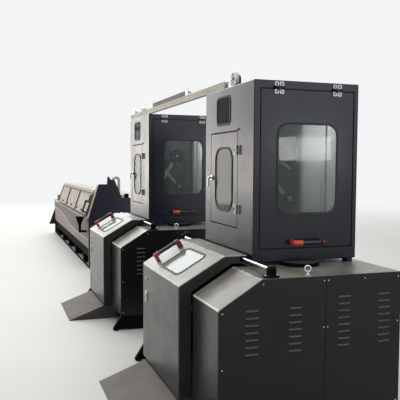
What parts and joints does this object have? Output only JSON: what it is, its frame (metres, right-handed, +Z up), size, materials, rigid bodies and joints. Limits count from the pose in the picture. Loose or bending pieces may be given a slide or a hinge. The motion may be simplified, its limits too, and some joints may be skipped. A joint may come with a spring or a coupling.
{
  "type": "wire drawing machine",
  "caption": "Wire drawing machine with windowed lids, feeding enclosed spool take-ups with louvred end panels and windowed towers under an overhead wire beam.",
  "frame": {"origin": "centre of the whole line's bounding box, on the floor", "axes": "+X along the line from the drawing machine to the near take-up, +Y from the operator's side to the back, +Z up"},
  "size_m": [11.407, 1.72, 2.195],
  "materials": {
    "grey_sheet": "semi-gloss powder coat, warm grey",
    "dark_sheet": "semi-gloss powder coat, near-black blue grey",
    "black_sheet": "semi-gloss powder coat, black",
    "black_frame": "satin black paint",
    "window_glass": "clear pane in a black rubber gasket",
    "black_grip": "black handle with orange-red ends",
    "bright_steel": "bright turned steel",
    "white_sheave": "white enamel",
    "pale_channel": "pale cream paint",
    "pale_hose": "pale grey hose"
  },
  "bodies": {
    "line": {"takeup1_base": "black_frame", "takeup1_housing": "grey_sheet", "takeup1_end_panels": "black_sheet", "takeup1_lid_shaft": "bright_steel", "takeup1_tower": "dark_sheet", "takeup1_tower_gear": "bright_steel", "takeup1_tower_window": "window_glass", "takeup1_ramp": "grey_sheet", "takeup2_base": "black_frame", "takeup2_housing": "grey_sheet", "takeup2_end_panels": "black_sheet", "takeup2_lid_shaft": "bright_steel", "takeup2_tower": "dark_sheet", "takeup2_tower_gear": "bright_steel", "takeup2_tower_window": "window_glass", "takeup2_ramp": "grey_sheet", "wire_beam": "pale_channel", "wire_rollers": "bright_steel", "draw_bed": "black_frame", "draw_tub": "grey_sheet", "draw_front": "grey_sheet", "draw_gearbox": "grey_sheet", "draw_end_plate": "black_sheet", "draw_capstans": "bright_steel", "draw_funnel": "black_sheet", "draw_hose": "pale_hose"},
    "takeup1_lid": {"takeup1_lid": "grey_sheet", "takeup1_lid_window": "window_glass", "takeup1_lid_handle": "black_grip"},
    "takeup1_end_door": {"takeup1_end_door": "dark_sheet", "takeup1_end_door_window": "window_glass", "takeup1_end_door_handle": "black_grip"},
    "takeup1_side_door": {"takeup1_side_door": "dark_sheet", "takeup1_side_door_window": "window_glass"},
    "takeup1_sheave": {"takeup1_sheave": "white_sheave"},
    "takeup2_lid": {"takeup2_lid": "grey_sheet", "takeup2_lid_window": "window_glass", "takeup2_lid_handle": "black_grip"},
    "takeup2_end_door": {"takeup2_end_door": "dark_sheet", "takeup2_end_door_window": "window_glass", "takeup2_end_door_handle": "black_grip"},
    "takeup2_side_door": {"takeup2_side_door": "dark_sheet", "takeup2_side_door_window": "window_glass"},
    "takeup2_sheave": {"takeup2_sheave": "white_sheave"},
    "draw_lid_1": {"draw_lid_1": "grey_sheet", "draw_window_1": "window_glass"},
    "draw_lid_2": {"draw_lid_2": "grey_sheet", "draw_window_2": "window_glass"},
    "draw_lid_3": {"draw_lid_3": "grey_sheet", "draw_window_3": "window_glass"}
  },
  "joints": [
    {"name": "takeup1_lid_hinge", "type": "hinge", "parent": "line", "child": "takeup1_lid", "pos_m": [4.799, -0.115, 0.985], "axis": [-1, 0, 0], "range_deg": [0, 70]},
    {"name": "takeup1_end_door_hinge", "type": "hinge", "parent": "line", "child": "takeup1_end_door", "pos_m": [5.3105, 0.2945, 2.033], "axis": [0, -1, 0], "range_deg": [0, 75]},
    {"name": "takeup1_side_door_hinge", "type": "hinge", "parent": "line", "child": "takeup1_side_door", "pos_m": [5.0545, -0.084, 1.466], "axis": [0, 0, -1], "range_deg": [-95, 0]},
    {"name": "takeup1_sheave_turn", "type": "hinge", "parent": "line", "child": "takeup1_sheave", "pos_m": [4.8565, -0.02, 2.135], "axis": [0, 1, 0], "continuous": true},
    {"name": "takeup2_lid_hinge", "type": "hinge", "parent": "line", "child": "takeup2_lid", "pos_m": [2.199, -0.115, 0.985], "axis": [-1, 0, 0], "range_deg": [0, 70]},
    {"name": "takeup2_end_door_hinge", "type": "hinge", "parent": "line", "child": "takeup2_end_door", "pos_m": [2.7105, 0.2945, 2.033], "axis": [0, -1, 0], "range_deg": [0, 75]},
    {"name": "takeup2_side_door_hinge", "type": "hinge", "parent": "line", "child": "takeup2_side_door", "pos_m": [2.4545, -0.084, 1.466], "axis": [0, 0, -1], "range_deg": [-95, 0]},
    {"name": "takeup2_sheave_turn", "type": "hinge", "parent": "line", "child": "takeup2_sheave", "pos_m": [2.2565, -0.02, 2.135], "axis": [0, 1, 0], "continuous": true},
    {"name": "draw_lid_1_hinge", "type": "hinge", "parent": "line", "child": "draw_lid_1", "pos_m": [-1.3235, 0.108, 1.176], "axis": [-1, 0, 0], "range_deg": [0, 75]},
    {"name": "draw_lid_2_hinge", "type": "hinge", "parent": "line", "child": "draw_lid_2", "pos_m": [-2.6835, 0.108, 1.176], "axis": [-1, 0, 0], "range_deg": [0, 75]},
    {"name": "draw_lid_3_hinge", "type": "hinge", "parent": "line", "child": "draw_lid_3", "pos_m": [-4.0435, 0.108, 1.176], "axis": [-1, 0, 0], "range_deg": [0, 75]}
  ]
}
